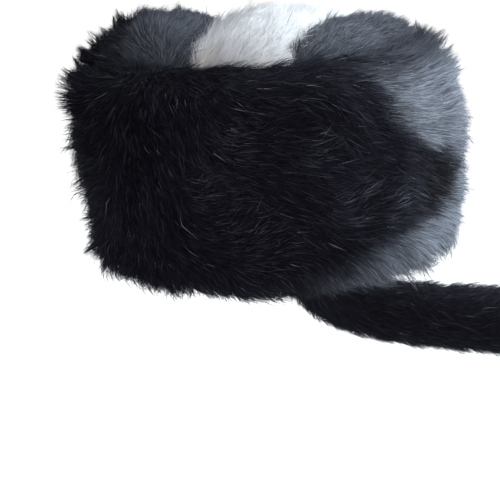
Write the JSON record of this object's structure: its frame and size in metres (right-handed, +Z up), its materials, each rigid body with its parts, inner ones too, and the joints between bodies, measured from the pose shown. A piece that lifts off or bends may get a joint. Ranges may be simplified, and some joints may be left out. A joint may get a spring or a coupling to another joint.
{
  "type": "coonskin cap",
  "caption": "Round cap of deep dark fur on a thin hide wall, with a pale fur strip from front to back over the crown and a furry tail at the back.",
  "frame": {"origin": "middle of the head opening, level with the lower edge of the hide wall", "axes": "+Z up through the crown, -Y to the front of the cap, +X to the wearer's left, where the tail turns"},
  "size_m": [0.3862, 0.2691, 0.2493],
  "materials": {
    "dark_fur": "long soft fur, black with a cool sheen",
    "pale_fur": "long soft fur, off-white",
    "hide": "plain suede-like flesh side"
  },
  "bodies": {
    "root": {"band_hide": "hide", "band_fur": "dark_fur", "crown_hide_left": "hide", "crown_hide_stripe": "hide", "crown_hide_right": "hide", "crown_fur_left": "dark_fur", "crown_fur_stripe": "pale_fur", "crown_fur_right": "dark_fur", "tail_tongue": "hide", "tail_fur": "dark_fur"}
  },
  "joints": []
}
